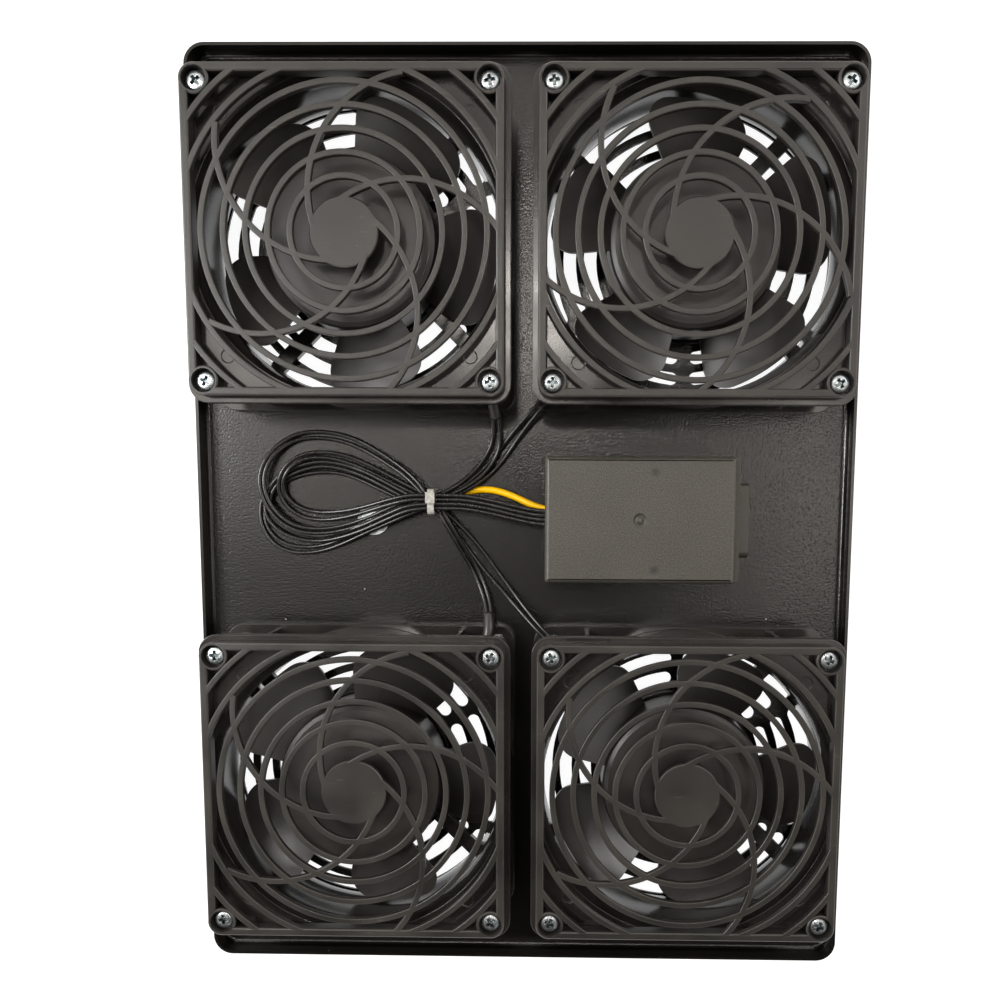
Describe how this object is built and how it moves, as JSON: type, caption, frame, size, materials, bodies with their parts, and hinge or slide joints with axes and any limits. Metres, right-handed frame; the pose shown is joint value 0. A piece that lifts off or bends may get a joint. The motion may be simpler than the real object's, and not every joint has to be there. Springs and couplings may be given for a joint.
{
  "type": "rack fan tray",
  "caption": "Shallow folded sheet tray with guarded axial fans in a rectangle, a control box with a power inlet, looped wiring and an earth point between them.",
  "frame": {"origin": "middle of the tray's outer face, on which it lies", "axes": "+Z out of the tray, the way the fans stand; +Y along the tray's long side; +X towards the power inlet's end of the control box"},
  "size_m": [0.265, 0.369, 0.0452],
  "materials": {
    "powder_coat": "fine textured black powder coat",
    "frame_plastic": "moulded black, satin",
    "impeller_plastic": "moulded black, satin",
    "guard_plastic": "moulded dark grey, satin",
    "box_plastic": "fine textured dark grey",
    "inlet_plastic": "moulded black",
    "zinc_steel": "bright zinc",
    "bare_steel": "ground",
    "laminations": "dark, with enamelled windings",
    "tin_brass": "tinned",
    "black_pvc": "soft black insulation",
    "earth_pvc": "yellow insulation with a green stripe",
    "nylon": "natural nylon"
  },
  "bodies": {
    "tray": {"box_leads": "black_pvc", "cable_tie": "nylon", "control_box_base": "box_plastic", "control_box_lid": "box_plastic", "control_box_screws": "zinc_steel", "earth_lead": "earth_pvc", "earth_nut": "zinc_steel", "earth_stud": "zinc_steel", "earth_terminal": "tin_brass", "earth_washer": "zinc_steel", "fan_1_bearings": "bare_steel", "fan_1_finger_guard": "guard_plastic", "fan_1_frame": "frame_plastic", "fan_1_lead": "black_pvc", "fan_1_lead_sleeve": "black_pvc", "fan_1_stator": "laminations", "fan_2_bearings": "bare_steel", "fan_2_finger_guard": "guard_plastic", "fan_2_frame": "frame_plastic", "fan_2_lead": "black_pvc", "fan_2_lead_sleeve": "black_pvc", "fan_2_stator": "laminations", "fan_3_bearings": "bare_steel", "fan_3_finger_guard": "guard_plastic", "fan_3_frame": "frame_plastic", "fan_3_lead": "black_pvc", "fan_3_lead_sleeve": "black_pvc", "fan_3_stator": "laminations", "fan_4_bearings": "bare_steel", "fan_4_finger_guard": "guard_plastic", "fan_4_frame": "frame_plastic", "fan_4_lead": "black_pvc", "fan_4_lead_sleeve": "black_pvc", "fan_4_stator": "laminations", "fan_nuts": "zinc_steel", "fan_studs": "zinc_steel", "guard_nuts": "zinc_steel", "guard_screws": "zinc_steel", "inlet_pins": "tin_brass", "lead_hank": "black_pvc", "power_inlet": "inlet_plastic", "terminal_strip": "inlet_plastic", "tray_pan": "powder_coat"},
    "fan_1_rotor": {"fan_1_impeller": "impeller_plastic", "fan_1_rotor_cup": "bare_steel", "fan_1_shaft": "bare_steel"},
    "fan_2_rotor": {"fan_2_impeller": "impeller_plastic", "fan_2_rotor_cup": "bare_steel", "fan_2_shaft": "bare_steel"},
    "fan_3_rotor": {"fan_3_impeller": "impeller_plastic", "fan_3_rotor_cup": "bare_steel", "fan_3_shaft": "bare_steel"},
    "fan_4_rotor": {"fan_4_impeller": "impeller_plastic", "fan_4_rotor_cup": "bare_steel", "fan_4_shaft": "bare_steel"}
  },
  "joints": [
    {"name": "fan_1_spin", "type": "hinge", "parent": "tray", "child": "fan_1_rotor", "pos_m": [-0.064, 0.1051, 0.0202], "axis": [0, 0, 1], "continuous": true},
    {"name": "fan_2_spin", "type": "hinge", "parent": "tray", "child": "fan_2_rotor", "pos_m": [0.064, 0.1051, 0.0202], "axis": [0, 0, 1], "continuous": true},
    {"name": "fan_3_spin", "type": "hinge", "parent": "tray", "child": "fan_3_rotor", "pos_m": [-0.064, -0.1023, 0.0202], "axis": [0, 0, 1], "continuous": true},
    {"name": "fan_4_spin", "type": "hinge", "parent": "tray", "child": "fan_4_rotor", "pos_m": [0.064, -0.1023, 0.0202], "axis": [0, 0, 1], "continuous": true}
  ]
}
